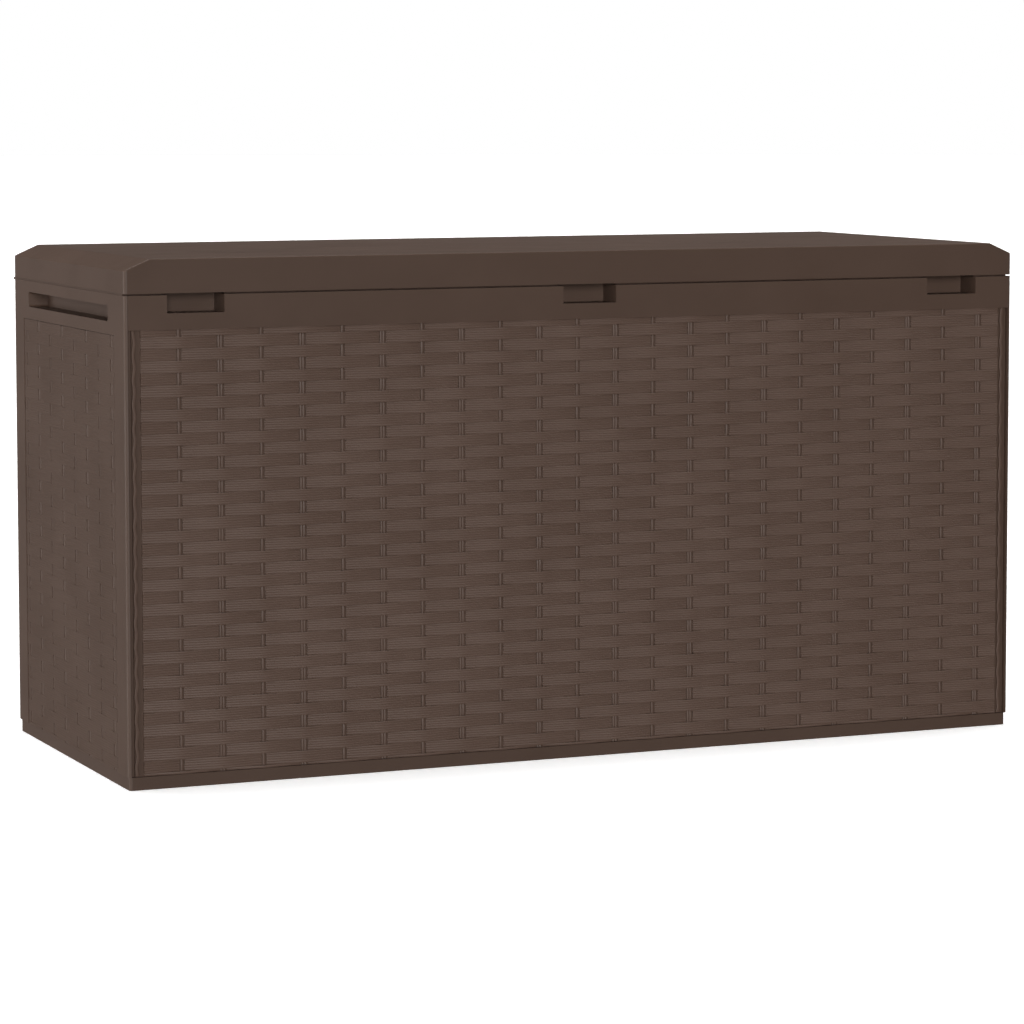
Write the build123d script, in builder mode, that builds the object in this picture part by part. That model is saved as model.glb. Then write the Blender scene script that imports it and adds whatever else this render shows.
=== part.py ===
"""A deck storage box: a floor tray, four wall panels, a hinged lid and the parts that join them.

Everything is in millimetres, +Z up. The origin is on the ground under the middle of the box's
overall outline, X runs left to right seen from the front, and the front faces -Y. The walls are
placed about the middle of the body, which lies a little forward of the origin because the hinges
stand out behind the back wall.
"""

import os
from math import cos, radians, sin

from build123d import *

# Overall size
WIDTH = 1140.0
DEPTH = 470.0
HEIGHT = 600.0

# Body outline and levels
HINGE_REACH = 20.0
BODY_DEPTH = DEPTH - HINGE_REACH
MID_Y = -HINGE_REACH / 2
HALF_WIDTH = WIDTH / 2
HALF_DEPTH = BODY_DEPTH / 2
BACK_Y = MID_Y + HALF_DEPTH
PLINTH_HEIGHT = 15.0
PLINTH_INSET = 2.0
SEAM_Z = 560.0
SEAM_GAP = 2.0
BODY_TOP = SEAM_Z - SEAM_GAP / 2
LID_BOTTOM = SEAM_Z + SEAM_GAP / 2
LID_CHAMFER_RUN = 30.0
LID_CHAMFER_DROP = 13.0
CORNER_RADIUS = 3.8
SOFT_EDGE = 1.2

# Wall thicknesses and clearances
SKIN = 3.0
SIDE_SKIN = 4.0
RIB = 2.5
POCKET_WALL = 2.5
SEAT_GAP = 0.2
PART_GAP = 0.5

# Woven fields: the board that carries the relief stands back from the wall's face
WEAVE_RELIEF = 4.5
SIDE_WEAVE_RELIEF = 3.0
WEAVE_TOP = 520.0
SIDE_WEAVE_TOP = 512.8
SIDE_WEAVE_HALF = 185.0
GROOVE_WIDTH = 5.0
GROOVE_DEPTH = 6.0

# Rail along the top of every wall: an upside-down channel
RAIL_DEPTH = 40.0
RAIL_LIP_Z = 530.0
SIDE_RAIL_LIP_Z = 520.0

# Finger recesses in the front rail
RECESS_WIDTH = 68.0
RECESS_BOTTOM = 538.5
RECESS_PITCH = 486.0

# Carrying slots in the side walls
SLOT_LENGTH = 324.0
SLOT_BOTTOM = 527.5
SLOT_HEIGHT = 18.0
SLOT_DEPTH = 24.0
SLOT_CORNER = 3.0

# Flanges that the panels are screwed together by
FLANGE_DEPTH = 20.0
PANEL_BOTTOM = PLINTH_HEIGHT + SEAT_GAP
BOARD_RIB_DEPTH = 8.0
BOARD_RIB_PITCH = 140.0
SIDE_RIB_PITCH = 120.0
SIDE_BOSS_Y = 150.0

# Screws and their bosses
SCREW_SHANK_R = 2.0
SCREW_HOLE_R = 2.1
SCREW_HEAD_R = 4.2
SCREW_HEAD_H = 2.6
DRIVE_LENGTH = 4.6
DRIVE_WIDTH = 1.1
DRIVE_DEPTH = 1.5
BOSS_R = 5.0
BOSS_HEIGHT = 12.0
CORNER_SCREW_LEVELS = (70.0, 200.0, 330.0, 460.0)
LONG_BASE_SCREW_X = (-490.0, -210.0, 210.0, 490.0)
BASE_SCREW_LENGTH = 14.0
HINGE_SCREW_LENGTH = 11.0

# Lid
LID_SKIN = 3.0
LID_LIP_GAP = 4.0
LID_LIP_BOTTOM = 548.0
LID_RIB_HEIGHT = 12.0
LID_REST_GAP = 0.3

# Hinges
HINGE_STATIONS = {"left": -380.0, "centre": 0.0, "right": 380.0}
AXIS_OFFSET = 12.0
KNUCKLE_R = 8.0
PIN_R = 4.0
PIN_CLEARANCE = 0.05
LEAF_THICK = 3.0
LEAF_HALF_WIDTH = 42.0
LID_KNUCKLE_HALF = 20.0
BODY_KNUCKLE_START = 20.5
PIN_HEAD_R = 6.0
PIN_HEAD_LENGTH = 3.0
PIN_TAIL = 3.0
STOP_REACH = 12.3
STOP_ANGLE = 31.6
HINGE_SCREW_X = 31.0
BODY_LEAF_SCREW_Z = 541.0
LID_LEAF_SCREW_Z = 577.0

BOARD_FACE = HALF_DEPTH - WEAVE_RELIEF
BOARD_BACK = BOARD_FACE - SKIN
BOARD_HALF = HALF_WIDTH - SIDE_SKIN - GROOVE_WIDTH
RAIL_INNER = HALF_DEPTH - RAIL_DEPTH
SIDE_RAIL_INNER = HALF_WIDTH - RAIL_DEPTH
LONG_RAIL_HALF = HALF_WIDTH - SIDE_SKIN - SEAT_GAP
SIDE_RAIL_HALF = RAIL_INNER - PART_GAP
SIDE_FACE_IN = HALF_WIDTH - SIDE_SKIN
SIDE_BOARD_FACE = HALF_WIDTH - SIDE_WEAVE_RELIEF
SIDE_BOARD_BACK = SIDE_BOARD_FACE - SKIN
FLANGE_MID = BOARD_FACE - FLANGE_DEPTH / 2 - 1.0
FLANGE_IN = BOARD_HALF - SKIN
LIP_HALF_X = SIDE_RAIL_INNER - LID_LIP_GAP
LIP_HALF_Y = RAIL_INNER - LID_LIP_GAP
LID_CEILING = HEIGHT - LID_SKIN
AXIS_Y = BACK_Y + AXIS_OFFSET
AXIS_Z = SEAM_Z


def level(height):
    """The horizontal plane at a height, centred on the middle of the body."""
    return Plane((0, MID_Y, height))


def block(x0, x1, y0, y1, z0, z1, mode=Mode.ADD):
    """A box between two corners, measured from the middle of the body."""
    with Locations(((x0 + x1) / 2, MID_Y + (y0 + y1) / 2, (z0 + z1) / 2)):
        Box(x1 - x0, y1 - y0, z1 - z0, mode=mode)


def upright(radius, x, y, z0, z1, mode=Mode.ADD):
    """A vertical round post or hole, measured from the middle of the body."""
    with Locations((x, MID_Y + y, (z0 + z1) / 2)):
        Cylinder(radius, z1 - z0, mode=mode)


def across_x(radius, x0, x1, y, z, mode=Mode.ADD):
    """A round post or hole along X, measured from the middle of the body."""
    with Locations(Location(((x0 + x1) / 2, MID_Y + y, z), (0, 90, 0))):
        Cylinder(radius, abs(x1 - x0), mode=mode)


def across_y(radius, x, y0, y1, z, mode=Mode.ADD):
    """A round post or hole along Y, in the box's own frame."""
    with Locations(Location((x, (y0 + y1) / 2, z), (90, 0, 0))):
        Cylinder(radius, abs(y1 - y0), mode=mode)


def save(piece, name):
    """Labels a finished piece and writes it as one STEP file."""
    piece.label = name
    export_step(piece, f"parts/{name}.step")


os.makedirs("parts", exist_ok=True)

# Floor tray: a shallow plinth, hollow underneath, with ribs and a rim that keys the wall flanges
TRAY_HALF_X = HALF_WIDTH - PLINTH_INSET
TRAY_HALF_Y = HALF_DEPTH - PLINTH_INSET
DECK_BOTTOM = PLINTH_HEIGHT - SKIN
RIM_HALF_X = SIDE_FACE_IN - FLANGE_DEPTH - PART_GAP
RIM_HALF_Y = BOARD_FACE - FLANGE_DEPTH - PART_GAP
RIM_TOP = 32.0
TRAY_RIB_PITCH = 142.0
TRAY_LONG_RIB_PITCH = 140.0

with BuildPart() as base_tray:
    with BuildSketch(level(0)):
        RectangleRounded(2 * TRAY_HALF_X, 2 * TRAY_HALF_Y, CORNER_RADIUS)
    extrude(amount=PLINTH_HEIGHT)
    with BuildSketch(level(0)):
        Rectangle(2 * (TRAY_HALF_X - SKIN), 2 * (TRAY_HALF_Y - SKIN))
    extrude(amount=DECK_BOTTOM, mode=Mode.SUBTRACT)
    with BuildSketch(level(0)):
        with GridLocations(TRAY_RIB_PITCH, 1, 7, 1):
            Rectangle(RIB, 2 * TRAY_HALF_Y - SKIN)
        with GridLocations(1, TRAY_LONG_RIB_PITCH, 1, 3):
            Rectangle(2 * TRAY_HALF_X - SKIN, RIB)
    extrude(amount=DECK_BOTTOM)
    with BuildSketch(level(PLINTH_HEIGHT)):
        Rectangle(2 * RIM_HALF_X, 2 * RIM_HALF_Y)
        Rectangle(2 * (RIM_HALF_X - RIB), 2 * (RIM_HALF_Y - RIB), mode=Mode.SUBTRACT)
    extrude(amount=RIM_TOP - PLINTH_HEIGHT)
    for screw_x in LONG_BASE_SCREW_X:
        for screw_y in (-FLANGE_MID, FLANGE_MID):
            upright(SCREW_HOLE_R, screw_x, screw_y, DECK_BOTTOM - 1, PLINTH_HEIGHT + 1, Mode.SUBTRACT)
    for screw_x in (-SIDE_FACE_IN + FLANGE_DEPTH / 2, SIDE_FACE_IN - FLANGE_DEPTH / 2):
        for screw_y in (-SIDE_BOSS_Y, SIDE_BOSS_Y):
            upright(SCREW_HOLE_R, screw_x, screw_y, DECK_BOTTOM - 1, PLINTH_HEIGHT + 1, Mode.SUBTRACT)
save(base_tray.part, "base_tray")

# Long wall: the front and back panels share this moulding
RAIL_WEB_X = (-420.0, -280.0, -140.0, 140.0, 280.0, 420.0)

with BuildPart() as long_wall:
    block(-BOARD_HALF, BOARD_HALF, -BOARD_FACE, -BOARD_BACK, PANEL_BOTTOM, WEAVE_TOP + SKIN)
    block(-LONG_RAIL_HALF, LONG_RAIL_HALF, -HALF_DEPTH, -BOARD_BACK, WEAVE_TOP, WEAVE_TOP + SKIN)
    block(-LONG_RAIL_HALF, LONG_RAIL_HALF, -HALF_DEPTH, -BOARD_FACE, WEAVE_TOP, BODY_TOP)
    block(-LONG_RAIL_HALF, LONG_RAIL_HALF, -HALF_DEPTH, -RAIL_INNER, BODY_TOP - SKIN, BODY_TOP)
    block(-LONG_RAIL_HALF, LONG_RAIL_HALF, -RAIL_INNER - SKIN, -RAIL_INNER, RAIL_LIP_Z, BODY_TOP)
    for side in (-1, 1):
        end_in, end_out = sorted((side * (LONG_RAIL_HALF - SKIN), side * LONG_RAIL_HALF))
        block(end_in, end_out, -HALF_DEPTH, -RAIL_INNER, RAIL_LIP_Z, BODY_TOP)
        flange_in, flange_out = sorted((side * FLANGE_IN, side * BOARD_HALF))
        block(flange_in, flange_out, -BOARD_FACE, -BOARD_FACE + FLANGE_DEPTH, PANEL_BOTTOM, WEAVE_TOP + SKIN)
        for screw_z in CORNER_SCREW_LEVELS:
            across_x(SCREW_HOLE_R, side * (FLANGE_IN - 1), side * (BOARD_HALF + 1), -FLANGE_MID, screw_z,
                     Mode.SUBTRACT)
    block(-BOARD_HALF, BOARD_HALF, -BOARD_FACE, -BOARD_FACE + FLANGE_DEPTH, PANEL_BOTTOM, PANEL_BOTTOM + SKIN)
    with BuildSketch(level(PANEL_BOTTOM)):
        with Locations((0, -BOARD_BACK + BOARD_RIB_DEPTH / 2)):
            with GridLocations(BOARD_RIB_PITCH, 1, 7, 1):
                Rectangle(RIB, BOARD_RIB_DEPTH)
    extrude(amount=WEAVE_TOP + SKIN - PANEL_BOTTOM)
    for web_x in RAIL_WEB_X:
        block(web_x - RIB / 2, web_x + RIB / 2, -BOARD_FACE, -RAIL_INNER - SKIN, WEAVE_TOP, BODY_TOP - SKIN)
    for screw_x in LONG_BASE_SCREW_X:
        upright(BOSS_R, screw_x, -FLANGE_MID, PANEL_BOTTOM, PANEL_BOTTOM + BOSS_HEIGHT)
        upright(SCREW_HOLE_R, screw_x, -FLANGE_MID, PANEL_BOTTOM - 1, PANEL_BOTTOM + BOSS_HEIGHT + 1,
                Mode.SUBTRACT)

# Front panel: the long wall with three finger recesses under the lid's edge
with BuildPart() as front_panel:
    add(long_wall.part)
    for station in (-RECESS_PITCH, 0.0, RECESS_PITCH):
        outer = RECESS_WIDTH / 2 + POCKET_WALL
        block(station - outer, station + outer, -HALF_DEPTH, -RAIL_INNER, RECESS_BOTTOM - POCKET_WALL,
              BODY_TOP)
        block(station - RECESS_WIDTH / 2, station + RECESS_WIDTH / 2, -HALF_DEPTH - 1, -RAIL_INNER - SKIN,
              RECESS_BOTTOM, BODY_TOP + 1, Mode.SUBTRACT)
save(front_panel.part, "front_panel")

# Back panel: the long wall turned round, with bosses behind its face for the hinge brackets
with BuildPart() as back_panel:
    add(mirror(long_wall.part, about=Plane.XZ.offset(-MID_Y), mode=Mode.PRIVATE))
    for station in HINGE_STATIONS.values():
        for screw_x in (station - HINGE_SCREW_X, station + HINGE_SCREW_X):
            across_y(BOSS_R, screw_x, BACK_Y - SKIN - 8, BACK_Y - 1, BODY_LEAF_SCREW_Z)
            across_y(SCREW_HOLE_R, screw_x, BACK_Y - SKIN - 9, BACK_Y + 1, BODY_LEAF_SCREW_Z, Mode.SUBTRACT)
save(back_panel.part, "back_panel")

# Left side panel: a skin whose edges make the box's corners, a rail, a carrying slot and flanges
with BuildPart() as left_side_panel:
    with BuildSketch(level(PANEL_BOTTOM)):
        with Locations((-HALF_WIDTH + SIDE_SKIN / 2, 0)):
            Rectangle(SIDE_SKIN, BODY_DEPTH)
    extrude(amount=BODY_TOP - PANEL_BOTTOM)
    fillet(left_side_panel.edges().filter_by(Axis.Z).group_by(Axis.X)[0], CORNER_RADIUS)
    block(-HALF_WIDTH - 1, -SIDE_BOARD_FACE, -SIDE_WEAVE_HALF, SIDE_WEAVE_HALF, PANEL_BOTTOM - 1,
          SIDE_WEAVE_TOP, Mode.SUBTRACT)
    block(-SIDE_BOARD_FACE, -SIDE_BOARD_BACK, -SIDE_WEAVE_HALF - SKIN, SIDE_WEAVE_HALF + SKIN, PANEL_BOTTOM,
          SIDE_WEAVE_TOP + SKIN)
    block(-SIDE_FACE_IN, -SIDE_RAIL_INNER, -SIDE_RAIL_HALF, SIDE_RAIL_HALF, BODY_TOP - SKIN, BODY_TOP)
    block(-SIDE_RAIL_INNER - SKIN, -SIDE_RAIL_INNER, -SIDE_RAIL_HALF, SIDE_RAIL_HALF, SIDE_RAIL_LIP_Z,
          BODY_TOP)
    slot_half = SLOT_LENGTH / 2 + POCKET_WALL
    block(-SIDE_FACE_IN, -HALF_WIDTH + SLOT_DEPTH + POCKET_WALL, -slot_half, slot_half,
          SLOT_BOTTOM - POCKET_WALL, SLOT_BOTTOM + SLOT_HEIGHT + POCKET_WALL)
    slot_middle = (-HALF_WIDTH + SLOT_DEPTH, MID_Y, SLOT_BOTTOM + SLOT_HEIGHT / 2)
    with BuildSketch(Plane(slot_middle, x_dir=(0, 1, 0), z_dir=(-1, 0, 0))):
        RectangleRounded(SLOT_LENGTH, SLOT_HEIGHT, SLOT_CORNER)
    extrude(amount=SLOT_DEPTH + 1, mode=Mode.SUBTRACT)
    block(-SIDE_FACE_IN, -SIDE_FACE_IN + FLANGE_DEPTH, -SIDE_WEAVE_HALF, SIDE_WEAVE_HALF, PANEL_BOTTOM,
          PANEL_BOTTOM + SKIN)
    with BuildSketch(level(PANEL_BOTTOM)):
        with Locations((-SIDE_BOARD_BACK + BOARD_RIB_DEPTH / 2, 0)):
            with GridLocations(1, SIDE_RIB_PITCH, 1, 3):
                Rectangle(BOARD_RIB_DEPTH, RIB)
    extrude(amount=SIDE_WEAVE_TOP + SKIN - PANEL_BOTTOM)
    for end in (-1, 1):
        lip_near, lip_far = sorted((end * (HALF_DEPTH - GROOVE_DEPTH), end * (HALF_DEPTH - GROOVE_DEPTH - 2)))
        block(-SIDE_FACE_IN, -BOARD_HALF - SEAT_GAP, lip_near, lip_far, PANEL_BOTTOM, WEAVE_TOP - SEAT_GAP)
        for screw_z in CORNER_SCREW_LEVELS:
            across_x(BOSS_R, -SIDE_FACE_IN, -BOARD_HALF - SEAT_GAP, end * FLANGE_MID, screw_z)
            across_x(SCREW_HOLE_R, -SIDE_FACE_IN, -BOARD_HALF, end * FLANGE_MID, screw_z, Mode.SUBTRACT)
        boss_x = -SIDE_FACE_IN + FLANGE_DEPTH / 2
        upright(BOSS_R, boss_x, end * SIDE_BOSS_Y, PANEL_BOTTOM, PANEL_BOTTOM + BOSS_HEIGHT)
        upright(SCREW_HOLE_R, boss_x, end * SIDE_BOSS_Y, PANEL_BOTTOM - 1, PANEL_BOTTOM + BOSS_HEIGHT + 1,
                Mode.SUBTRACT)
save(left_side_panel.part, "left_side_panel")

with BuildPart() as right_side_panel:
    add(mirror(left_side_panel.part, about=Plane.YZ, mode=Mode.PRIVATE))
save(right_side_panel.part, "right_side_panel")

# Lid: a shell with sloping ends, a lip that drops into the mouth, stiffening ribs and rest pads
LID_RIB_PITCH_X = 150.0
LID_RIB_PITCH_Y = 120.0
LID_WEB_X = (-420.0, -280.0, -140.0, 140.0, 280.0, 420.0)
LID_WEB_Y = (-110.0, 0.0, 110.0)
LID_WEB_TOP = HEIGHT - LID_CHAMFER_DROP - 2
PAD_BOTTOM = BODY_TOP + LID_REST_GAP
PAD_TOP = PAD_BOTTOM + 4.0
PAD_HALF = 6.0
PAD_REACH = 16.0

with BuildPart() as lid_shell:
    with BuildSketch(Plane((0, BACK_Y, 0), x_dir=(1, 0, 0), z_dir=(0, -1, 0))):
        with BuildLine():
            Polyline(
                (-HALF_WIDTH, LID_BOTTOM),
                (-HALF_WIDTH, HEIGHT - LID_CHAMFER_DROP),
                (-HALF_WIDTH + LID_CHAMFER_RUN, HEIGHT),
                (HALF_WIDTH - LID_CHAMFER_RUN, HEIGHT),
                (HALF_WIDTH, HEIGHT - LID_CHAMFER_DROP),
                (HALF_WIDTH, LID_BOTTOM),
                close=True,
            )
        make_face()
    extrude(amount=BODY_DEPTH)
    fillet(lid_shell.edges().filter_by(Axis.Z), CORNER_RADIUS)
    fillet(lid_shell.faces().sort_by(Axis.Z)[-1].edges().filter_by(Axis.X), SOFT_EDGE)
    ends = lid_shell.edges().filter_by(Axis.Y).filter_by_position(Axis.Z, LID_BOTTOM + 1, HEIGHT + 1)
    fillet(ends, SOFT_EDGE)
    offset(amount=-LID_SKIN, openings=lid_shell.faces().sort_by(Axis.Z)[0])
    with BuildSketch(level(LID_LIP_BOTTOM)):
        Rectangle(2 * LIP_HALF_X, 2 * LIP_HALF_Y)
        Rectangle(2 * (LIP_HALF_X - RIB), 2 * (LIP_HALF_Y - RIB), mode=Mode.SUBTRACT)
    extrude(amount=LID_CEILING + 1 - LID_LIP_BOTTOM)
    with BuildSketch(level(LID_CEILING - LID_RIB_HEIGHT)):
        with GridLocations(LID_RIB_PITCH_X, 1, 7, 1):
            Rectangle(RIB, 2 * LIP_HALF_Y - RIB)
        with GridLocations(1, LID_RIB_PITCH_Y, 1, 3):
            Rectangle(2 * LIP_HALF_X - RIB, RIB)
    extrude(amount=LID_RIB_HEIGHT + 1)
    for end in (-1, 1):
        web_near, web_far = sorted((end * (LIP_HALF_Y - 1), end * (HALF_DEPTH - LID_SKIN + 1)))
        pad_near, pad_far = sorted((end * (LIP_HALF_Y - 1), end * (LIP_HALF_Y + PAD_REACH)))
        for web_x in LID_WEB_X:
            block(web_x - RIB / 2, web_x + RIB / 2, web_near, web_far, PAD_TOP - 1, LID_CEILING + 1)
            block(web_x - PAD_HALF, web_x + PAD_HALF, pad_near, pad_far, PAD_BOTTOM, PAD_TOP)
        web_left, web_right = sorted((end * (LIP_HALF_X - 1), end * (HALF_WIDTH - LID_SKIN + 1)))
        pad_left, pad_right = sorted((end * (LIP_HALF_X - 1), end * (LIP_HALF_X + PAD_REACH)))
        for web_y in LID_WEB_Y:
            block(web_left, web_right, web_y - RIB / 2, web_y + RIB / 2, PAD_TOP - 1, LID_WEB_TOP)
            block(pad_left, pad_right, web_y - PAD_HALF, web_y + PAD_HALF, PAD_BOTTOM, PAD_TOP)
    for station in HINGE_STATIONS.values():
        for screw_x in (station - HINGE_SCREW_X, station + HINGE_SCREW_X):
            across_y(BOSS_R, screw_x, BACK_Y - LID_SKIN - 8, BACK_Y - 1, LID_LEAF_SCREW_Z)
            across_y(SCREW_HOLE_R, screw_x, BACK_Y - LID_SKIN - 9, BACK_Y + 1, LID_LEAF_SCREW_Z, Mode.SUBTRACT)
save(lid_shell.part, "lid_shell")

# Hinges: a bracket on the wall, a leaf on the lid and a headed pin through their knuckles
FLANK = KNUCKLE_R * cos(radians(45))
LEAF_BACK_Y = BACK_Y + SEAT_GAP
LEAF_FACE_Y = LEAF_BACK_Y + LEAF_THICK
ARM_RUN = AXIS_OFFSET + FLANK - SEAT_GAP
BODY_LEAF_BOTTOM = 530.0
LID_LEAF_TOP = 586.0
KNUCKLE_GAP = 1.5

for side_name, station in HINGE_STATIONS.items():
    across = Plane((station, AXIS_Y, AXIS_Z), x_dir=(0, 1, 0), z_dir=(1, 0, 0))

    with BuildPart() as hinge_bracket:
        block(station - LEAF_HALF_WIDTH, station + LEAF_HALF_WIDTH, LEAF_BACK_Y - MID_Y, LEAF_FACE_Y - MID_Y,
              BODY_LEAF_BOTTOM, AXIS_Z - KNUCKLE_GAP)
        with BuildSketch(across) as knuckle_side:
            Circle(KNUCKLE_R)
            with BuildLine():
                Polyline(
                    (-AXIS_OFFSET + SEAT_GAP, -KNUCKLE_GAP),
                    (0, -KNUCKLE_GAP),
                    (FLANK, -FLANK),
                    (-AXIS_OFFSET + SEAT_GAP, -FLANK - ARM_RUN),
                    close=True,
                )
            make_face()
            Circle(PIN_R + PIN_CLEARANCE, mode=Mode.SUBTRACT)
        extrude(amount=LEAF_HALF_WIDTH, both=True)
        block(station - BODY_KNUCKLE_START, station + BODY_KNUCKLE_START, LEAF_FACE_Y - MID_Y, HALF_DEPTH + 30,
              BODY_LEAF_BOTTOM - 20, AXIS_Z + 20, Mode.SUBTRACT)
        block(station - BODY_KNUCKLE_START, station + BODY_KNUCKLE_START, LEAF_BACK_Y - MID_Y - 1,
              LEAF_FACE_Y - MID_Y + 1, AXIS_Z - STOP_REACH - 2, AXIS_Z + 20, Mode.SUBTRACT)
        for screw_x in (station - HINGE_SCREW_X, station + HINGE_SCREW_X):
            across_y(SCREW_HEAD_R + 0.3, screw_x, LEAF_FACE_Y, BACK_Y + 40, BODY_LEAF_SCREW_Z, Mode.SUBTRACT)
            across_y(SCREW_HOLE_R, screw_x, BACK_Y - 1, LEAF_FACE_Y + 1, BODY_LEAF_SCREW_Z, Mode.SUBTRACT)
    save(hinge_bracket.part, f"hinge_bracket_{side_name}")

    with BuildPart() as lid_leaf:
        block(station - LEAF_HALF_WIDTH, station + LEAF_HALF_WIDTH, LEAF_BACK_Y - MID_Y, LEAF_FACE_Y - MID_Y,
              AXIS_Z + KNUCKLE_GAP, LID_LEAF_TOP)
        with BuildSketch(across):
            Circle(KNUCKLE_R)
            with BuildLine():
                Polyline(
                    (-AXIS_OFFSET + SEAT_GAP, KNUCKLE_GAP),
                    (0, KNUCKLE_GAP),
                    (FLANK, FLANK),
                    (-AXIS_OFFSET + SEAT_GAP, FLANK + ARM_RUN),
                    close=True,
                )
            make_face()
            with BuildLine():
                Polyline(
                    (0, 0),
                    (STOP_REACH * sin(radians(STOP_ANGLE)), -STOP_REACH * cos(radians(STOP_ANGLE))),
                    (KNUCKLE_R, -KNUCKLE_R - 1),
                    (KNUCKLE_R, 0),
                    close=True,
                )
            make_face()
            Circle(PIN_R + PIN_CLEARANCE, mode=Mode.SUBTRACT)
        extrude(amount=LID_KNUCKLE_HALF, both=True)
        for screw_x in (station - HINGE_SCREW_X, station + HINGE_SCREW_X):
            across_y(SCREW_HOLE_R, screw_x, BACK_Y - 1, LEAF_FACE_Y + 1, LID_LEAF_SCREW_Z, Mode.SUBTRACT)
    save(lid_leaf.part, f"lid_hinge_leaf_{side_name}")

    with BuildPart() as hinge_pin:
        head_end = station - LEAF_HALF_WIDTH - SEAT_GAP
        tail_end = station + LEAF_HALF_WIDTH + PIN_TAIL
        across_x(PIN_R, head_end, tail_end, AXIS_Y - MID_Y, AXIS_Z)
        across_x(PIN_HEAD_R, head_end - PIN_HEAD_LENGTH, head_end, AXIS_Y - MID_Y, AXIS_Z)
        chamfer(hinge_pin.edges().group_by(Axis.X)[-1], 0.8)
        fillet(hinge_pin.edges().group_by(Axis.X)[0], 1.0)
    save(hinge_pin.part, f"hinge_pin_{side_name}")


def screw(plane, length, x, y):
    """One pan-head screw with a cross drive on a plane: its head above the plane, its shank below it."""
    with Locations(plane.location * Location((x, y, SCREW_HEAD_H / 2))):
        Cylinder(SCREW_HEAD_R, SCREW_HEAD_H)
    with Locations(plane.location * Location((x, y, -length / 2))):
        Cylinder(SCREW_SHANK_R, length)
    with Locations(plane.location * Location((x, y, SCREW_HEAD_H))):
        Box(DRIVE_LENGTH, DRIVE_WIDTH, 2 * DRIVE_DEPTH, mode=Mode.SUBTRACT)
        Box(DRIVE_WIDTH, DRIVE_LENGTH, 2 * DRIVE_DEPTH, mode=Mode.SUBTRACT)


# Hinge screws: two for each bracket and leaf
HINGE_SCREW_PLANE = Plane((0, LEAF_FACE_Y + 0.05, 0), x_dir=(1, 0, 0), z_dir=(0, 1, 0))

for group_name, screw_z in (("hinge_bracket_screws", BODY_LEAF_SCREW_Z), ("lid_hinge_screws", LID_LEAF_SCREW_Z)):
    with BuildPart() as hinge_screws:
        for station in HINGE_STATIONS.values():
            for screw_x in (station - HINGE_SCREW_X, station + HINGE_SCREW_X):
                screw(HINGE_SCREW_PLANE, HINGE_SCREW_LENGTH, screw_x, -screw_z)
    save(hinge_screws.part, group_name)

# Corner screws: four at each corner, driven from inside through the long walls' end flanges
CORNER_SCREW_LENGTH = SIDE_FACE_IN - FLANGE_IN - 0.3
CORNERS = {
    "front_left": (-1, -1),
    "front_right": (1, -1),
    "back_left": (-1, 1),
    "back_right": (1, 1),
}

for corner_name, (side, end) in CORNERS.items():
    drive_plane = Plane((side * (FLANGE_IN - 0.05), MID_Y, 0), x_dir=(0, 1, 0), z_dir=(-side, 0, 0))
    with BuildPart() as corner_screws:
        for screw_z in CORNER_SCREW_LEVELS:
            screw(drive_plane, CORNER_SCREW_LENGTH, end * FLANGE_MID, -side * screw_z)
    save(corner_screws.part, f"corner_screws_{corner_name}")

# Base screws: driven upwards through the floor tray into the wall flanges
BASE_SCREW_PLANE = Plane((0, MID_Y, DECK_BOTTOM - 0.05), x_dir=(1, 0, 0), z_dir=(0, 0, -1))

with BuildPart() as base_screws:
    for screw_y in (-FLANGE_MID, FLANGE_MID):
        for screw_x in LONG_BASE_SCREW_X:
            screw(BASE_SCREW_PLANE, BASE_SCREW_LENGTH, screw_x, screw_y)
        for screw_x in (-SIDE_FACE_IN + FLANGE_DEPTH / 2, SIDE_FACE_IN - FLANGE_DEPTH / 2):
            side_y = SIDE_BOSS_Y if screw_y > 0 else -SIDE_BOSS_Y
            screw(BASE_SCREW_PLANE, BASE_SCREW_LENGTH, screw_x, side_y)
save(base_screws.part, "base_screws")
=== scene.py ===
"""Finishes for a woven-look deck storage box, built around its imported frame.

The frame gives every moulding, hinge and screw. This script adds the woven relief that is moulded into
the four walls, dresses every part in its own finish, and sets up a plain studio.
"""

from __future__ import annotations

import logging
import math
from collections.abc import Callable
from dataclasses import dataclass
from enum import Enum

import bmesh
import bpy
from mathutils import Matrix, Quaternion, Vector

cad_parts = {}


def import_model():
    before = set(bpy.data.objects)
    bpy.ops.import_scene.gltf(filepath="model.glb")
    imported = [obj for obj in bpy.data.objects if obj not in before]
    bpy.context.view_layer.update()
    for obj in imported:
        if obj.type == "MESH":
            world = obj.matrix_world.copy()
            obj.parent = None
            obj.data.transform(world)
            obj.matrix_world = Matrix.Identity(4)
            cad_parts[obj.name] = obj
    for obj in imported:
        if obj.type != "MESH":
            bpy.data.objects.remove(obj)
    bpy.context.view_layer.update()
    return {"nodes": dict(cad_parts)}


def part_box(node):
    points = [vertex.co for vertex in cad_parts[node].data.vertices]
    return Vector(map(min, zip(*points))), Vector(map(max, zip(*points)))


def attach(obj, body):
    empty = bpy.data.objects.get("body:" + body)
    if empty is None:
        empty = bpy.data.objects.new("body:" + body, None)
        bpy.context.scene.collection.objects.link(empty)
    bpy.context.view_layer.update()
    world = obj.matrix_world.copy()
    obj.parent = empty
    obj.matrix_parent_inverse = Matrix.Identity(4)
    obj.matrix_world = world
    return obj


log = logging.getLogger("deck_box")

MM = 0.001
SAME_PLACE = 0.01 * MM
WHITE = (1.0, 1.0, 1.0, 1.0)


class Facing(Enum):
    """The way a wall looks, as the turn in degrees about the upright axis from the front."""

    FRONT = 0.0
    RIGHT = 90.0
    BACK = 180.0
    LEFT = 270.0


# ---------------------------------------------------------------- working in edit mode


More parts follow.
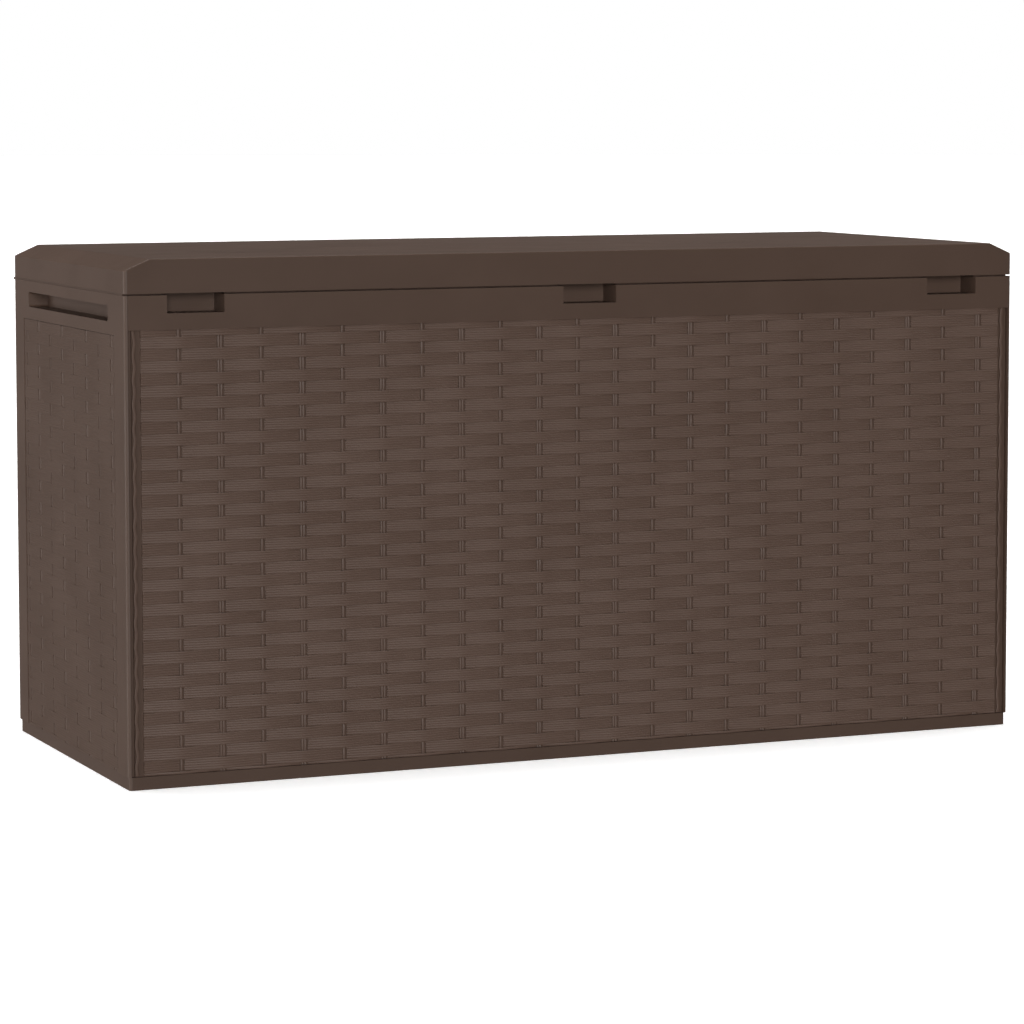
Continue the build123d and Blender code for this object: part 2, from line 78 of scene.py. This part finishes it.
def deselect_all() -> None:
    """Leaves object mode as the current mode with nothing selected."""
    if bpy.context.object and bpy.context.object.mode != "OBJECT":
        bpy.ops.object.mode_set(mode="OBJECT")
    bpy.ops.object.select_all(action="DESELECT")


def take(*pieces: bpy.types.Object) -> None:
    """Selects these pieces alone and makes the first one active.

    Args:
        pieces: the objects to work on next.
    """
    deselect_all()
    for piece in pieces:
        piece.select_set(True)
    bpy.context.view_layer.objects.active = pieces[0]


def pick_points(piece: bpy.types.Object, test: Callable[[Vector], bool]) -> None:
    """Selects, in edit mode, the points whose place passes a test.

    Args:
        piece: the mesh being edited.
        test: says whether a point at this place is picked.
    """
    bpy.ops.mesh.select_all(action="DESELECT")
    cage = bmesh.from_edit_mesh(piece.data)
    for point in cage.verts:
        if test(point.co):
            point.select_set(True)
    cage.select_flush(True)
    bmesh.update_edit_mesh(piece.data)


def settle(piece: bpy.types.Object) -> None:
    """Moves a piece's place and turn into its mesh, so that its object sits at the origin.

    Args:
        piece: the object to settle.
    """
    take(piece)
    bpy.ops.object.transform_apply(location=True, rotation=True, scale=True)


def apply_modifier(piece: bpy.types.Object, kind: str, **settings: object) -> None:
    """Adds one modifier to a piece, sets it up and applies it.

    Args:
        piece: the mesh to change.
        kind: Blender's name for the modifier.
        settings: the modifier's properties and their values.
    """
    take(piece)
    modifier = piece.modifiers.new(kind.title(), kind)
    for name, value in settings.items():
        setattr(modifier, name, value)
    bpy.ops.object.modifier_apply(modifier=modifier.name)


def smooth(piece: bpy.types.Object, degrees: float) -> None:
    """Shades a piece smooth across every edge flatter than an angle.

    Args:
        piece: the mesh to shade.
        degrees: edges sharper than this stay crisp.
    """
    take(piece)
    bpy.ops.object.shade_smooth_by_angle(angle=math.radians(degrees))


def seat(piece: bpy.types.Object, facing: Facing, board: float, centre: float) -> None:
    """Turns a finished piece to its wall and moves it onto the wall's board.

    Args:
        piece: a piece that faces the front about x = 0, with its board in the plane y = 0.
        facing: the way the wall looks.
        board: how far the board is from the middle of the box.
        centre: the y of the middle of the walls.
    """
    turn = math.radians(facing.value)
    outward = Vector((math.sin(turn), -math.cos(turn), 0))
    piece.rotation_euler = (0, 0, turn)
    piece.location = outward * board + Vector((0, centre, 0))
    settle(piece)


def towards(azimuth: float, elevation: float) -> Vector:
    """The direction from the box to something that stands around it.

    Args:
        azimuth: degrees about the upright axis from the front, positive to the right.
        elevation: degrees above the floor.

    Returns:
        A vector of length 1.
    """
    turn, rise = math.radians(azimuth), math.radians(elevation)
    return Vector((math.sin(turn) * math.cos(rise), -math.cos(turn) * math.cos(rise), math.sin(rise)))


# ---------------------------------------------------------------- finishes


@dataclass(frozen=True)
class Finish:
    """What every finish of the box has: a name, a colour and a way to go onto a piece."""

    name: str
    colour: tuple[float, float, float]

    def shade(self, made: bpy.types.Material) -> None:
        """Sets up the nodes of a new material. Each kind of finish has its own way.

        Args:
            made: the material, with only its shader in it.
        """
        raise NotImplementedError

    def shares(self, low: float, high: float) -> tuple[tuple[float, ...], tuple[float, ...]]:
        """The finish's colour at its darkest and at its lightest.

        Args:
            low: the darkest share of the colour.
            high: the lightest share of the colour.

        Returns:
            The two colours, opaque.
        """
        dark, light = ((*(part * share for part in self.colour), 1.0) for share in (low, high))
        return dark, light

    def dress(self, piece: bpy.types.Object) -> None:
        """Puts this finish on a piece, in place of what it wears.

        Args:
            piece: a new piece or a node of the frame.
        """
        made = bpy.data.materials.get(self.name)
        if not made:
            made = bpy.data.materials.new(self.name)
            made.use_nodes = True
            self.shade(made)
        piece.data.materials.clear()
        piece.data.materials.append(made)


@dataclass(frozen=True)
class MouldedPlastic(Finish):
    """Satin polypropylene with the fine spark-eroded grain of its mould.

    Grain sizes are in metres. Mottling is a share of the colour, and patches are counted to the metre.
    """

    roughness: float = 0.5
    roughness_swing: float = 0.06
    specular: float = 0.5
    grain: float = 0.9 * MM
    grain_height: float = 0.06 * MM
    mottling: float = 0.05
    patches: float = 9.0

    def shade(self, made: bpy.types.Material) -> None:
        """Mottles the colour and the gloss in soft patches, and raises the mould's grain.

        Args:
            made: the material, with only its shader in it.
        """
        nodes, links = made.node_tree.nodes, made.node_tree.links
        shader = nodes["Principled BSDF"]
        shader.inputs["Specular IOR Level"].default_value = self.specular
        place = nodes.new("ShaderNodeTexCoord").outputs["Object"]

        cloud = nodes.new("ShaderNodeTexNoise")
        cloud.inputs["Scale"].default_value = self.patches
        cloud.inputs["Detail"].default_value = 4.0
        cloud.inputs["Roughness"].default_value = 0.6
        links.new(place, cloud.inputs["Vector"])
        tint = nodes.new("ShaderNodeValToRGB")
        dark, light = tint.color_ramp.elements
        dark.position, light.position = 0.3, 0.7
        dark.color, light.color = self.shares(1.0 - self.mottling, 1.0 + self.mottling)
        links.new(cloud.outputs["Fac"], tint.inputs["Fac"])
        links.new(tint.outputs["Color"], shader.inputs["Base Color"])

        grain = nodes.new("ShaderNodeTexNoise")
        grain.inputs["Scale"].default_value = 1.0 / self.grain
        grain.inputs["Detail"].default_value = 2.0
        grain.inputs["Roughness"].default_value = 0.55
        links.new(place, grain.inputs["Vector"])
        shine = nodes.new("ShaderNodeMapRange")
        shine.inputs["From Min"].default_value = 0.25
        shine.inputs["From Max"].default_value = 0.75
        shine.inputs["To Min"].default_value = self.roughness - self.roughness_swing
        shine.inputs["To Max"].default_value = self.roughness + self.roughness_swing
        links.new(cloud.outputs["Fac"], shine.inputs["Value"])
        links.new(shine.outputs["Result"], shader.inputs["Roughness"])

        bump = nodes.new("ShaderNodeBump")
        bump.inputs["Strength"].default_value = 1.0
        bump.inputs["Distance"].default_value = self.grain_height
        links.new(grain.outputs["Fac"], bump.inputs["Height"])
        links.new(bump.outputs["Normal"], shader.inputs["Normal"])


@dataclass(frozen=True)
class PlatedSteel(Finish):
    """Zinc-plated steel with small dulled patches. Sizes are in metres."""

    roughness: float = 0.34
    polished: float = 0.1
    dulled: float = 0.16
    darkest: float = 0.82
    patch: float = 4.0 * MM
    patch_height: float = 0.03 * MM

    def shade(self, made: bpy.types.Material) -> None:
        """Dulls and darkens the plating in small patches.

        Args:
            made: the material, with only its shader in it.
        """
        nodes, links = made.node_tree.nodes, made.node_tree.links
        shader = nodes["Principled BSDF"]
        shader.inputs["Metallic"].default_value = 1.0
        place = nodes.new("ShaderNodeTexCoord").outputs["Object"]
        cloud = nodes.new("ShaderNodeTexNoise")
        cloud.inputs["Scale"].default_value = 1.0 / self.patch
        cloud.inputs["Detail"].default_value = 5.0
        links.new(place, cloud.inputs["Vector"])
        tint = nodes.new("ShaderNodeValToRGB")
        dark, light = tint.color_ramp.elements
        dark.color, light.color = self.shares(self.darkest, 1.0)
        links.new(cloud.outputs["Fac"], tint.inputs["Fac"])
        links.new(tint.outputs["Color"], shader.inputs["Base Color"])
        shine = nodes.new("ShaderNodeMapRange")
        shine.inputs["To Min"].default_value = self.roughness - self.polished
        shine.inputs["To Max"].default_value = self.roughness + self.dulled
        links.new(cloud.outputs["Fac"], shine.inputs["Value"])
        links.new(shine.outputs["Result"], shader.inputs["Roughness"])
        bump = nodes.new("ShaderNodeBump")
        bump.inputs["Distance"].default_value = self.patch_height
        links.new(cloud.outputs["Fac"], bump.inputs["Height"])
        links.new(bump.outputs["Normal"], shader.inputs["Normal"])


PLAIN_BROWN = MouldedPlastic("plain_brown_plastic", (0.085, 0.051, 0.036), specular=0.3)
# The front and back weave is the walls' own plastic with a colour painted lighter than the plain walls:
# painted light that makes up for the shade its relief casts on itself.
WEAVE_BROWN_PAINTED_LIGHTER = MouldedPlastic(
    "weave_plastic_painted_lighter", (0.111, 0.0664, 0.0476), roughness=0.48, specular=0.7
)
# The stakes and edge beads are the walls' own plastic with a colour painted lighter than the plain walls:
# painted light.
STAKE_BROWN_PAINTED_LIGHTER = MouldedPlastic(
    "stake_plastic_painted_lighter", (0.100, 0.0598, 0.0428), roughness=0.55, specular=0.35
)
END_WEAVE_BROWN = MouldedPlastic(
    "end_weave_brown_plastic", (0.085, 0.051, 0.036), roughness=0.46, specular=0.3
)
BASE_BROWN = MouldedPlastic(
    "base_brown_plastic", (0.08, 0.048, 0.034), roughness=0.55, specular=0.3
)
HINGE_BROWN = MouldedPlastic(
    "hinge_brown_plastic", (0.07, 0.042, 0.03), roughness=0.42, specular=0.3, grain=0.6 * MM
)
PIN_STEEL = PlatedSteel("pin_steel", (0.62, 0.62, 0.63))
SCREW_STEEL = PlatedSteel("screw_steel", (0.58, 0.57, 0.55), roughness=0.4)


# ---------------------------------------------------------------- woven relief


class Stake(Enum):
    """The two stakes that take turns along a wall, as (width in metres, number of upright ribs)."""

    NARROW = (3.6 * MM, 1)
    WIDE = (6.4 * MM, 2)

    @property
    def width(self) -> float:
        """How wide the stake is."""
        return self.value[0]

    @property
    def ribs(self) -> int:
        """How many upright ribs it has."""
        return self.value[1]


@dataclass
class WeaveField:
    """A woven field moulded into one wall: ribbed strands that arch over upright stakes.

    It is built as if on the front, about x = 0 with its board in the plane y = 0, and then turned and
    moved to its wall. Strands of neighbouring rows arch over alternate stakes, and every second stake
    is a narrow one. Heights are above the board. Sizes are in metres and angles in degrees.
    """

    name: str
    facing: Facing
    board: float
    centre: float
    left: float
    right: float
    bottom: float
    top: float
    first_stake: float
    stake_pitch: float = 49.1 * MM
    row_pitch: float = 13.72 * MM
    row_datum: float = 512.3 * MM
    crest: float = 4.45 * MM
    dip: float = 1.0 * MM
    crown: float = 4.0 * MM
    shoulder: float = 8.0 * MM
    ribs: int = 5
    rib_height: float = 0.42 * MM
    stake_crest: float = 1.5 * MM
    stake_dip: float = 1.1 * MM
    stake_rib_height: float = 0.6 * MM
    stake_gap: float = 1.2 * MM
    tuck: float = 1.0 * MM
    rooting: float = 0.5 * MM
    flat_angle: float = 0.3
    crisp_angle: float = 12.0

    def arch(self, x: float, half: float) -> float:
        """How far a strand stands off the board.

        Args:
            x: the distance from the middle of its arch.
            half: half the length of the arch.

        Returns:
            The height, from the crest in the middle to the dip at the ends.
        """
        reach = math.hypot(half, self.crown) - self.crown
        drop = (math.hypot(x, self.crown) - self.crown) / reach
        return self.crest - (self.crest - self.dip) * drop

    def _grid(self, name: str, width: float, height: float, across: int, up: int) -> bpy.types.Object:
        """Adds an upright grid that faces the front, centred on the origin.

        Args:
            name: the new piece's name.
            width: its size along x.
            height: its size along z.
            across: how many faces it has along x.
            up: how many faces it has along z.

        Returns:
            The grid, with its place in its mesh.
        """
        deselect_all()
        bpy.ops.mesh.primitive_grid_add(
            x_subdivisions=across, y_subdivisions=up, size=1.0, rotation=(math.pi / 2, 0, 0)
        )
        grid = bpy.context.object
        grid.name = name
        grid.scale = (width, height, 1.0)
        settle(grid)
        return grid

    def _raise(
        self,
        grid: bpy.types.Object,
        bow: Callable[[Vector], float],
        ridge: Callable[[Vector], float],
    ) -> None:
        """Lifts a grid's points off the board, all that stand equally high at once, and gives it a body.

        Args:
            grid: an upright grid that faces the front.
            bow: how high a point stands, by its column or its row.
            ridge: how much lower it is than the top of its rib, by its row or its column.
        """
        take(grid)
        lifts: dict[float, list[int]] = {}
        for point in grid.data.vertices:
            lifts.setdefault(round(bow(point.co) - ridge(point.co), 7), []).append(point.index)
        bpy.ops.object.mode_set(mode="EDIT")
        for lift, points in lifts.items():
            bpy.ops.mesh.select_all(action="DESELECT")
            cage = bmesh.from_edit_mesh(grid.data)
            cage.verts.ensure_lookup_table()
            for index in points:
                cage.verts[index].select_set(True)
            cage.select_flush(True)
            bmesh.update_edit_mesh(grid.data)
            bpy.ops.transform.translate(value=(0, -lift, 0))
        bpy.ops.mesh.select_all(action="SELECT")
        bpy.ops.mesh.extrude_region_move(TRANSFORM_OT_translate={"value": (0, 10 * MM, 0)})
        bpy.ops.transform.resize(value=(1, 0, 1), center_override=(0, self.rooting, 0))
        bpy.ops.mesh.select_all(action="SELECT")
        bpy.ops.mesh.dissolve_limited(angle_limit=math.radians(self.flat_angle))
        bpy.ops.mesh.select_all(action="SELECT")
        bpy.ops.mesh.normals_make_consistent(inside=False)
        bpy.ops.object.mode_set(mode="OBJECT")

    def strand_brick(self, between: Stake) -> bpy.types.Object:
        """Models one arch of one strand, with its fine lengthwise ribs, over the stake at the origin.

        Args:
            between: the kind of stake that shows at both ends of the arch.

        Returns:
            A closed solid centred on x = 0, z = 0.
        """
        half = self.stake_pitch - between.width / 2 - self.stake_gap
        grid = self._grid("strand_brick", 2 * half, self.row_pitch, 4, 2 * self.ribs)
        bpy.ops.object.mode_set(mode="EDIT")
        for side in (-1, 1):
            pick_points(grid, lambda co, side=side: abs(co.x - side * half / 2) < SAME_PLACE)
            bpy.ops.transform.translate(value=(side * (self.shoulder - half / 2), 0, 0))
        bpy.ops.object.mode_set(mode="OBJECT")
        rib = self.row_pitch / self.ribs

        def ridge(co: Vector) -> float:
            """Zero along the top of a rib and the rib's full height in the furrow beside it."""
            across = (co.z + self.row_pitch / 2) / rib
            return self.rib_height * (1 + math.cos(2 * math.pi * across)) / 2

        self._raise(grid, lambda co: self.arch(co.x, half), ridge)
        return grid

    def stake_link(self, kind: Stake) -> bpy.types.Object:
        """Models the stretch of stake that shows between two arches, with its upright ribs.

        Args:
            kind: a narrow or a wide stake.

        Returns:
            A closed solid centred on x = 0, z = 0.
        """
        height = self.row_pitch + 2 * self.tuck
        grid = self._grid("stake_link", kind.width, height, 4 * kind.ribs, 4)

        def bow(co: Vector) -> float:
            """A shallow bow from one row to the next."""
            rise = self.stake_crest - self.stake_dip
            return self.stake_dip + rise * (1 - (2 * co.z / height) ** 2)

        def ridge(co: Vector) -> float:
            """Zero along the top of a rib and the rib's full height in the furrow beside it."""
            across = (co.x / kind.width + 0.5) * kind.ribs
            return self.stake_rib_height * ((1 + math.cos(2 * math.pi * across)) / 2) ** 1.5

        self._raise(grid, bow, ridge)
        return grid

    def _spread(
        self, unit: bpy.types.Object, other: bpy.types.Object, first_x: float, name: str
    ) -> bpy.types.Object:
        """Repeats two units in turn over every second crossing and trims them to the field's edges.

        Args:
            unit: the solid for the first row, centred on the origin.
            other: the solid for the next row, centred on the origin.
            first_x: the x of the crossing that the first one belongs on.
            name: the finished piece's name.

        Returns:
            The finished piece, still facing the front about x = 0.
        """
        row_z = self.row_datum + self.row_pitch / 2
        unit.location = (first_x, 0, row_z)
        other.location = (first_x + self.stake_pitch, 0, row_z - self.row_pitch)
        take(unit, other)
        bpy.ops.object.join()
        settle(unit)
        unit.name = unit.data.name = name
        rows = math.ceil((self.top - self.bottom) / self.row_pitch / 2) + 1
        columns = math.ceil((self.right - self.left) / self.stake_pitch / 2) + 2
        along, down = (2 * self.stake_pitch, 0, 0), (0, 0, -2 * self.row_pitch)
        for count, step in ((columns, along), (rows, down)):
            apply_modifier(
                unit,
                "ARRAY",
                count=count,
                use_relative_offset=False,
                use_constant_offset=True,
                constant_offset_displace=step,
            )
        take(unit)
        bpy.ops.object.mode_set(mode="EDIT")
        for point, normal in (
            ((self.left, 0, 0), (-1, 0, 0)),
            ((self.right, 0, 0), (1, 0, 0)),
            ((0, 0, self.top), (0, 0, 1)),
            ((0, 0, self.bottom), (0, 0, -1)),
        ):
            bpy.ops.mesh.select_all(action="SELECT")
            bpy.ops.mesh.bisect(plane_co=point, plane_no=normal, use_fill=True, clear_outer=True)
        bpy.ops.object.mode_set(mode="OBJECT")
        return unit

    def build(self) -> list[bpy.types.Object]:
        """Builds the strands and the stakes of this field.

        Returns:
            The two pieces, in place on their wall.
        """
        before_left = math.ceil((self.first_stake - self.left) / self.stake_pitch / 2 + 1)
        start = self.first_stake - 2 * before_left * self.stake_pitch
        strands = self._spread(
            self.strand_brick(Stake.NARROW),
            self.strand_brick(Stake.WIDE),
            start + self.stake_pitch,
            f"{self.name}_strands",
        )
        stakes = self._spread(
            self.stake_link(Stake.NARROW), self.stake_link(Stake.WIDE), start, f"{self.name}_stakes"
        )
        for piece in (strands, stakes):
            smooth(piece, self.crisp_angle)
            seat(piece, self.facing, self.board, self.centre)
            log.info("%s: %d faces", piece.name, len(piece.data.polygons))
        return [strands, stakes]


@dataclass
class EdgeBead:
    """The thin rippled bead that stands in the groove at each upright edge of a long wall.

    Sizes are in metres and angles in degrees.
    """

    name: str
    facing: Facing
    board: float
    centre: float
    side: float
    bottom: float
    top: float
    width: float = 4.4 * MM
    height: float = 2.3 * MM
    ripple: float = 0.8 * MM
    pitch: float = 13.72 * MM
    datum: float = 512.3 * MM
    levels_per_row: int = 4
    rounding: float = 1.9 * MM
    rounding_steps: int = 4
    crisp_angle: float = 50.0

    def build(self) -> bpy.types.Object:
        """Builds the bead as an upright bar that ripples sideways once every two rows.

        Returns:
            The bead, in place.
        """
        deselect_all()
        length = self.top - self.bottom
        steps = round(length / self.pitch * self.levels_per_row)
        bpy.ops.mesh.primitive_cube_add(size=1.0)
        bead = bpy.context.object
        bead.name = bead.data.name = self.name
        bead.scale = (self.width, self.height, length)
        bead.location = (self.side, -self.height / 2, (self.top + self.bottom) / 2)
        settle(bead)
        bpy.ops.object.mode_set(mode="EDIT")
        for cut in range(1, steps):
            level = self.bottom + length * cut / steps
            bpy.ops.mesh.select_all(action="SELECT")
            bpy.ops.mesh.bisect(plane_co=(0, 0, level), plane_no=(0, 0, 1))
        for cut in range(steps + 1):
            level = self.bottom + length * cut / steps
            pick_points(bead, lambda co, level=level: abs(co.z - level) < SAME_PLACE)
            swing = math.cos(math.pi * (level - self.datum) / self.pitch - math.pi / 2)
            bpy.ops.transform.translate(value=(math.copysign(self.ripple, self.side) * swing, 0, 0))
        bpy.ops.object.mode_set(mode="OBJECT")
        apply_modifier(
            bead, "BEVEL", width=self.rounding, segments=self.rounding_steps, limit_method="ANGLE"
        )
        smooth(bead, self.crisp_angle)
        seat(bead, self.facing, self.board, self.centre)
        log.info("%s: %d faces", bead.name, len(bead.data.polygons))
        return bead


@dataclass
class RimSeal:
    """The strip in the seam under the lid, open at each finger recess. Sizes are in metres.

    It is centred on y = 0 and not on the middle of the walls. It stands 1.2 mm back from the faces of the
    end walls and 11.2 mm back from the front, and its ends stick out 7.2 mm behind the back wall.
    """

    name: str = "rim_seal"
    half_width: float = 568.8 * MM
    half_depth: float = 223.8 * MM
    thickness: float = 1.6 * MM
    bottom: float = 558.0 * MM
    top: float = 560.7 * MM
    recess_pitch: float = 486.0 * MM
    recess_half: float = 37.0 * MM

    def strip(self, left: float, right: float, near: float, far: float) -> bpy.types.Object:
        """Makes one straight length of the seal.

        Args:
            left: its lowest X.
            right: its highest X.
            near: its lowest Y.
            far: its highest Y.

        Returns:
            The length, with its place in its mesh.
        """
        deselect_all()
        bpy.ops.mesh.primitive_cube_add(size=1.0)
        strip = bpy.context.object
        strip.scale = (right - left, far - near, self.top - self.bottom)
        strip.location = ((left + right) / 2, (near + far) / 2, (self.top + self.bottom) / 2)
        settle(strip)
        return strip

    def build(self) -> bpy.types.Object:
        """Builds the lengths along the front, between the recesses, and along both ends.

        Returns:
            The seal, as one object of separate closed lengths.
        """
        inner_x = self.half_width - self.thickness
        inner_y = self.half_depth - self.thickness
        edges = [-inner_x]
        for centre in (-self.recess_pitch, 0.0, self.recess_pitch):
            edges += [centre - self.recess_half, centre + self.recess_half]
        edges.append(inner_x)
        lengths = [
            self.strip(left, right, -self.half_depth, -inner_y)
            for left, right in zip(edges[::2], edges[1::2])
        ]
        for left, right in ((-self.half_width, -inner_x), (inner_x, self.half_width)):
            lengths.append(self.strip(left, right, -self.half_depth, inner_y))
        take(*lengths)
        bpy.ops.object.join()
        seal = bpy.context.object
        seal.name = seal.data.name = self.name
        log.info("%s: %d faces", seal.name, len(seal.data.polygons))
        return seal


# ---------------------------------------------------------------- the box


@dataclass
class WovenWalls:
    """The relief on all four walls. Sizes are in metres.

    The walls' faces and their middle come from the frame, and the sizes here suit its boards.
    """

    long_relief: float = 4.5 * MM
    end_relief: float = 3.0 * MM
    long_left: float = -551.1 * MM
    long_right: float = 553.0 * MM
    bead_at: float = 558.6 * MM
    end_half: float = 185.0 * MM
    end_margin: float = 2.0 * MM
    bottom: float = 15.7 * MM
    long_top: float = 521.5 * MM
    end_top: float = 512.3 * MM
    long_first_stake: float = -505.5 * MM
    end_first_stake: float = -171.8 * MM
    bead_drop: float = 1.5 * MM

    def build(self) -> list[bpy.types.Object]:
        """Builds the woven fields, the beads beside the long ones and the seal above them.

        Returns:
            Every new piece.
        """
        low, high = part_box("left_side_panel")
        middle = (low.y + high.y) / 2
        long_board = (high.y - low.y) / 2 - self.long_relief
        end_board = -low.x - self.end_relief
        pieces: list[bpy.types.Object] = []
        for facing, label in ((Facing.FRONT, "front"), (Facing.BACK, "back")):
            field = WeaveField(
                name=f"{label}_weave",
                facing=facing,
                board=long_board,
                centre=middle,
                left=self.long_left,
                right=self.long_right,
                bottom=self.bottom,
                top=self.long_top,
                first_stake=self.long_first_stake,
            )
            pieces += field.build()
            for side, hand in ((-self.bead_at, "left"), (self.bead_at, "right")):
                bead = EdgeBead(
                    name=f"{label}_bead_{hand}",
                    facing=facing,
                    board=long_board,
                    centre=middle,
                    side=side,
                    bottom=self.bottom,
                    top=self.long_top - self.bead_drop,
                )
                pieces.append(bead.build())
        for facing, label in ((Facing.LEFT, "left"), (Facing.RIGHT, "right")):
            field = WeaveField(
                name=f"{label}_weave",
                facing=facing,
                board=end_board,
                centre=middle,
                left=-self.end_half + self.end_margin,
                right=self.end_half - self.end_margin,
                bottom=self.bottom,
                top=self.end_top,
                first_stake=self.end_first_stake,
                crest=2.8 * MM,
                dip=2.2 * MM,
                rib_height=0.12 * MM,
                stake_crest=2.2 * MM,
                stake_dip=2.0 * MM,
                stake_rib_height=0.25 * MM,
                crisp_angle=8.0,
            )
            pieces += field.build()
        pieces.append(RimSeal().build())
        return pieces

    def dress(self, pieces: list[bpy.types.Object]) -> None:
        """Gives the relief and the seal their finishes and fixes them to the body of the box.

        Args:
            pieces: what build() returned.
        """
        for piece in pieces:
            self.finish_for(piece.name).dress(piece)
            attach(piece, "box")

    def finish_for(self, piece: str) -> MouldedPlastic:
        """The finish a piece of the relief or the seal wears.

        Args:
            piece: the piece's name.

        Returns:
            Its finish.
        """
        if piece == "rim_seal":
            return PLAIN_BROWN
        if piece.startswith(("left", "right")):
            return END_WEAVE_BROWN
        # Stakes and beads wear the wall plastic painted lighter, as painted light.
        if "stakes" in piece or "bead" in piece:
            return STAKE_BROWN_PAINTED_LIGHTER
        # Front and back strands wear the wall plastic painted lighter still, as painted light.
        return WEAVE_BROWN_PAINTED_LIGHTER


@dataclass
class Mouldings:
    """The frame's own nodes and the finish each one wears."""

    nodes: dict[str, bpy.types.Object]

    def finish_for(self, node: str) -> Finish:
        """The finish a node of the frame wears.

        Args:
            node: the node's name.

        Returns:
            Its finish.
        """
        if "screws" in node:
            return SCREW_STEEL
        if node.startswith("hinge_pin"):
            return PIN_STEEL
        if node.startswith(("hinge_bracket", "lid_hinge_leaf")):
            return HINGE_BROWN
        if node == "base_tray":
            return BASE_BROWN
        return PLAIN_BROWN

    def dress(self) -> None:
        """Dresses every node of the frame."""
        for name, node in self.nodes.items():
            self.finish_for(name).dress(node)
            log.info("%s wears %s", name, self.finish_for(name).name)


# ---------------------------------------------------------------- studio


@dataclass(frozen=True)
class Lamp:
    """One white far lamp, which lights everything evenly from one direction.

    Angles are in degrees, and a wider spread softens the shadows. Where the lamp stands makes no difference.
    """

    name: str
    azimuth: float
    elevation: float
    power: float
    spread: float
    distance: float = 3.0

    def build(self) -> None:
        """Adds the light, turned towards the box."""
        back = towards(self.azimuth, self.elevation)
        deselect_all()
        bpy.ops.object.light_add(type="SUN", location=back * self.distance)
        lamp = bpy.context.object
        lamp.name = lamp.data.name = self.name
        lamp.data.energy = self.power
        lamp.data.angle = math.radians(self.spread)
        lamp.rotation_euler = back.to_track_quat("Z", "Y").to_euler()


LAMPS = (
    Lamp("front_lamp", -16.0, 7.0, 1.93, spread=22.0),
    Lamp("left_lamp", -84.0, -5.0, 1.48, spread=70.0),
    Lamp("left_rear_lamp", -120.0, 4.0, 1.03, spread=40.0),
    Lamp("top_rear_lamp", 170.0, 80.0, 2.3, spread=30.0),
    Lamp("right_lamp", 92.0, 20.0, 1.2, spread=40.0),
)


@dataclass(frozen=True)
class Studio:
    """A pale light table, a white surround, soft light and a camera with a long lens.

    Angles are in degrees, the lens and the sensor in millimetres, and other sizes in metres.
    """

    azimuth: float = -23.1613
    elevation: float = 4.6192
    roll: float = -0.0636
    place: tuple[float, float, float] = (-1.81631, -4.24743, 0.78009)
    lens: float = 131.9404
    sensor: float = 36.0
    shift: tuple[float, float] = (0.0, -0.1094)
    sight: float = 200.0
    ambient: float = 0.06
    table_glow: float = 0.55
    table_white: float = 0.9
    surround_glow: float = 1.0
    dome_radius: float = 45.0

    def camera(self) -> None:
        """Adds the camera and makes it the scene's own."""
        back = towards(self.azimuth, self.elevation)
        roll = Quaternion(back, math.radians(self.roll))
        deselect_all()
        bpy.ops.object.camera_add(location=self.place)
        camera = bpy.context.object
        camera.name = camera.data.name = "studio_camera"
        camera.data.sensor_width = self.sensor
        camera.data.lens = self.lens
        camera.data.clip_end = self.sight
        camera.rotation_mode = "QUATERNION"
        camera.rotation_quaternion = roll @ back.to_track_quat("Z", "Y")
        camera.data.shift_x, camera.data.shift_y = self.shift
        bpy.context.scene.camera = camera

    def _pale(self, name: str, white: float, glow: float) -> bpy.types.Material:
        """Makes a plain pale material for the stage.

        Args:
            name: the material's name.
            white: how much of the light it scatters.
            glow: the light it gives out itself.

        Returns:
            The material.
        """
        pale = bpy.data.materials.new(name)
        pale.use_nodes = True
        shader = pale.node_tree.nodes["Principled BSDF"]
        shader.inputs["Base Color"].default_value = (white, white, white, 1.0)
        shader.inputs["Roughness"].default_value = 1.0
        shader.inputs["Specular IOR Level"].default_value = 0.0
        shader.inputs["Emission Color"].default_value = WHITE
        shader.inputs["Emission Strength"].default_value = glow
        return pale

    def stage(self) -> None:
        """Lays the wide pale floor and puts the white surround behind it.

        Neither throws light back onto the box nor shades it. The lamps and the room's faint light shape it.
        """
        deselect_all()
        bpy.ops.mesh.primitive_circle_add(vertices=96, radius=self.dome_radius, fill_type="NGON")
        floor = bpy.context.object
        floor.name = floor.data.name = "studio_floor"
        floor.data.materials.append(self._pale("pale_floor", self.table_white, self.table_glow))
        bpy.ops.mesh.primitive_uv_sphere_add(segments=48, ring_count=24, radius=self.dome_radius)
        dome = bpy.context.object
        dome.name = dome.data.name = "studio_surround"
        dome.data.materials.append(self._pale("white_surround", 0.0, self.surround_glow))
        for piece in (floor, dome):
            piece.visible_diffuse = False
            piece.visible_glossy = False
            piece.visible_shadow = False

    def surroundings(self) -> None:
        """Sets the even, faint light of the room and plain colour handling."""
        scene = bpy.context.scene
        scene.view_settings.view_transform = "Standard"
        world = bpy.data.worlds.new("studio_air")
        world.use_nodes = True
        background = world.node_tree.nodes["Background"]
        background.inputs["Color"].default_value = WHITE
        background.inputs["Strength"].default_value = self.ambient
        scene.world = world

    def build(self) -> None:
        """Sets up the whole studio."""
        self.surroundings()
        self.stage()
        for lamp in LAMPS:
            lamp.build()
        self.camera()


def main() -> None:
    """Builds every sub-assembly in order."""
    logging.basicConfig(level=logging.INFO, format="%(name)s: %(message)s")
    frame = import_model()

    walls = WovenWalls()
    walls.dress(walls.build())
    Mouldings(frame["nodes"]).dress()
    Studio().build()


if __name__ == "__main__":
    main()
